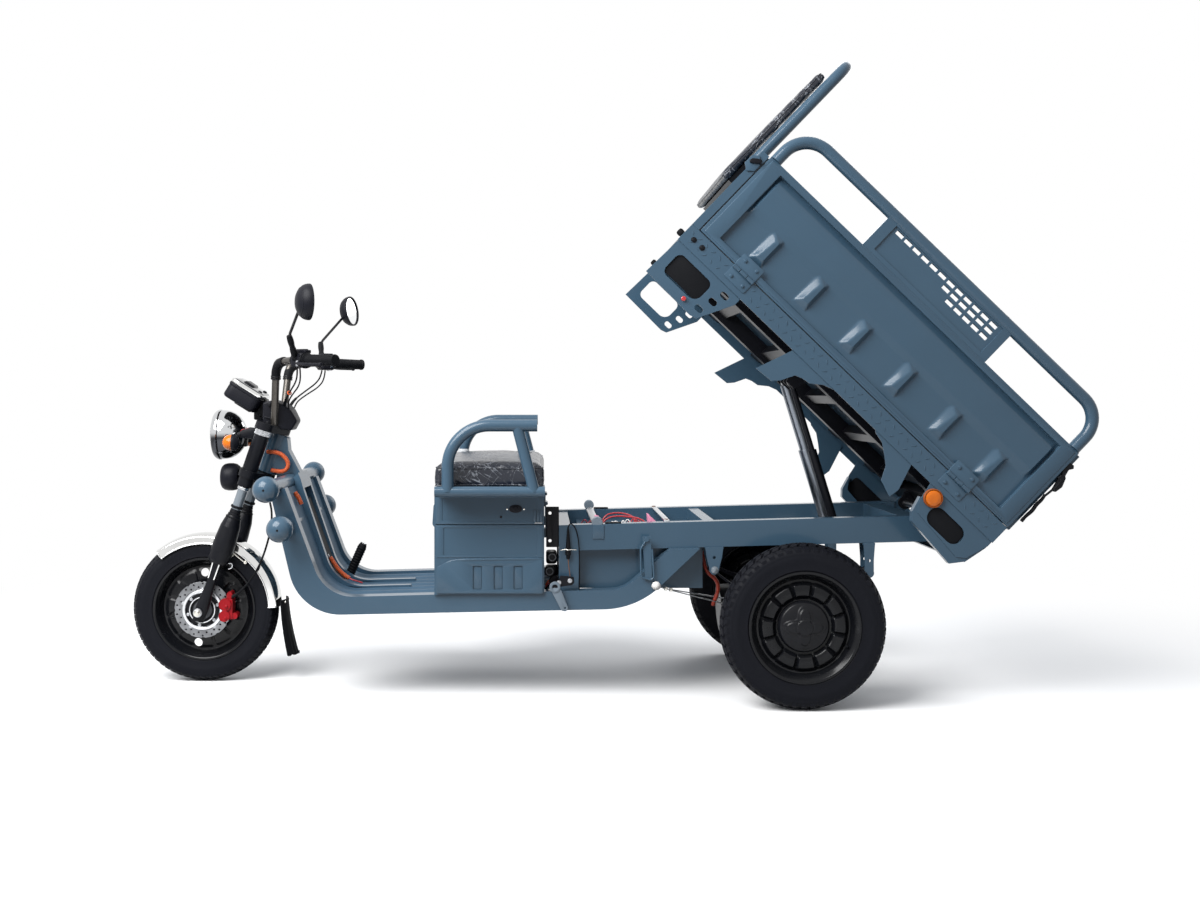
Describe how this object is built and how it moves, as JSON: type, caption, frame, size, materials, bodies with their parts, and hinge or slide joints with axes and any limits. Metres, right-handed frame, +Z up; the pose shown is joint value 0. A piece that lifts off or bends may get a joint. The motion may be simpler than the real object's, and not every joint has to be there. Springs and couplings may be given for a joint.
{
  "type": "electric cargo tricycle",
  "caption": "Electric cargo tricycle with a tipping load bed, drop sides, tailgate, lifting seat box, steered front fork and free-turning wheels.",
  "frame": {"origin": "on the floor under the middle of the bounding box with the bed tipped up", "axes": "+Z up, -X towards the front wheel, -Y towards the vehicle's left side"},
  "size_m": [3.0004, 1.0382, 1.9811],
  "materials": {
    "body_paint": "satin slate blue-grey paint over pressed sheet and tube",
    "black_paint": "semi-gloss black paint",
    "black_plastic": "grained moulded plastic",
    "rubber": "matt rubber",
    "tyre": "black tyre rubber",
    "chrome": "bright plated steel",
    "bare_steel": "bright bare steel",
    "lift_metal": "grey plated steel",
    "red_paint": "gloss red",
    "amber_lens": "moulded lens",
    "seat_leather": "soft grained vinyl",
    "orange_conduit": "corrugated conduit"
  },
  "bodies": {
    "chassis": {"side_beams": "body_paint", "steering_head": "body_paint", "front_guard": "body_paint", "footboard": "body_paint", "chassis_rails": "body_paint", "bed_rest_tube": "bare_steel", "bed_hinge_pin": "bare_steel", "battery_box": "body_paint", "rear_axle": "black_paint", "leaf_springs": "black_paint", "spring_brackets": "body_paint", "brake_pedal": "rubber", "parking_lever": "body_paint", "seat_box": "body_paint", "wiring": "orange_conduit", "cable_cover": "black_plastic", "bed_latch": "body_paint"},
    "steering": {"fork": "black_paint", "front_axle": "bare_steel", "brake_caliper": "red_paint", "front_mudguard": "chrome", "front_mudflap": "rubber", "headlight": "chrome", "instrument_pod": "black_plastic", "handlebar": "black_paint", "handlebar_grips": "rubber", "hand_controls": "black_plastic", "mirrors": "black_plastic", "turn_signals": "amber_lens", "headset_cover": "black_plastic", "horn": "black_plastic", "control_cables": "rubber"},
    "front_wheel": {"front_tyre": "tyre", "front_rim": "black_paint", "brake_disc": "bare_steel"},
    "rear_wheel_left": {"rear_tyre_left": "tyre", "rear_wheel_left": "black_paint"},
    "rear_wheel_right": {"rear_tyre_right": "tyre", "rear_wheel_right": "black_paint"},
    "seat": {"seat_lid": "body_paint", "seat_frame": "body_paint", "seat_cushion": "seat_leather"},
    "bed": {"bed_floor": "body_paint", "bed_underframe": "black_paint", "bed_front_wall": "body_paint", "bed_skirts": "body_paint", "rear_valance": "body_paint", "bed_lamps": "amber_lens", "backrest_frame": "body_paint", "backrest_board": "black_paint", "backrest_cushion": "seat_leather"},
    "side_left": {"side_panel_left": "body_paint", "side_rail_left": "body_paint"},
    "side_right": {"side_panel_right": "body_paint", "side_rail_right": "body_paint"},
    "tailgate": {"tailgate": "body_paint"},
    "lift_barrel": {"lift_barrel": "lift_metal"},
    "lift_rod": {"lift_rod": "lift_metal"},
    "strut_barrel": {"strut_barrel": "black_paint"},
    "strut_rod": {"strut_rod": "black_paint"}
  },
  "joints": [
    {"name": "steering_turn", "type": "hinge", "parent": "chassis", "child": "steering", "pos_m": [-1.06323, 0, 0.674], "axis": [0.3256, 0, 0.9455], "range_deg": [-40, 40]},
    {"name": "front_wheel_spin", "type": "hinge", "parent": "steering", "child": "front_wheel", "pos_m": [-1.26026, 0, 0.24], "axis": [0, 1, 0], "continuous": true},
    {"name": "rear_wheel_left_spin", "type": "hinge", "parent": "chassis", "child": "rear_wheel_left", "pos_m": [0.63474, -0.405, 0.25], "axis": [0, 1, 0], "continuous": true},
    {"name": "rear_wheel_right_spin", "type": "hinge", "parent": "chassis", "child": "rear_wheel_right", "pos_m": [0.63474, 0.405, 0.25], "axis": [0, 1, 0], "continuous": true},
    {"name": "bed_tip", "type": "hinge", "parent": "chassis", "child": "bed", "pos_m": [1.11639, 0, 0.567], "axis": [0, 1, 0], "range_deg": [-45.5, 0]},
    {"name": "side_left_fold", "type": "hinge", "parent": "bed", "child": "side_left", "pos_m": [0.74656, -0.484, 1.01033], "axis": [0.7193, 0, -0.6947], "range_deg": [0, 165]},
    {"name": "side_right_fold", "type": "hinge", "parent": "bed", "child": "side_right", "pos_m": [0.74656, 0.484, 1.01033], "axis": [-0.7193, 0, 0.6947], "range_deg": [0, 165]},
    {"name": "tailgate_fold", "type": "hinge", "parent": "bed", "child": "tailgate", "pos_m": [1.24003, 0, 0.53379], "axis": [0, 1, 0], "range_deg": [0, 165]},
    {"name": "seat_lid_lift", "type": "hinge", "parent": "chassis", "child": "seat", "pos_m": [-0.13526, 0, 0.602], "axis": [0, 1, 0], "range_deg": [0, 60]},
    {"name": "lift_lean", "type": "hinge", "parent": "chassis", "child": "lift_barrel", "pos_m": [0.81474, 0.045, 0.5], "axis": [0, 1, 0], "range_deg": [-65.92, 0]},
    {"name": "lift_extend", "type": "slide", "parent": "lift_barrel", "child": "lift_rod", "axis": [-0.2926, 0, 0.9562], "range_m": [-0.19293, 0]},
    {"name": "strut_lean", "type": "hinge", "parent": "chassis", "child": "strut_barrel", "pos_m": [0.81474, -0.06, 0.5], "axis": [0, 1, 0], "range_deg": [-65.92, 0]},
    {"name": "strut_extend", "type": "slide", "parent": "strut_barrel", "child": "strut_rod", "axis": [-0.2926, 0, 0.9562], "range_m": [-0.19293, 0]}
  ],
  "couplings": [
    {"joint": "lift_lean", "follows": "bed_tip", "ratio": 1.4477},
    {"joint": "lift_extend", "follows": "bed_tip", "m_per_rad": 0.24282},
    {"joint": "strut_lean", "follows": "bed_tip", "ratio": 1.4477},
    {"joint": "strut_extend", "follows": "bed_tip", "m_per_rad": 0.24282}
  ]
}
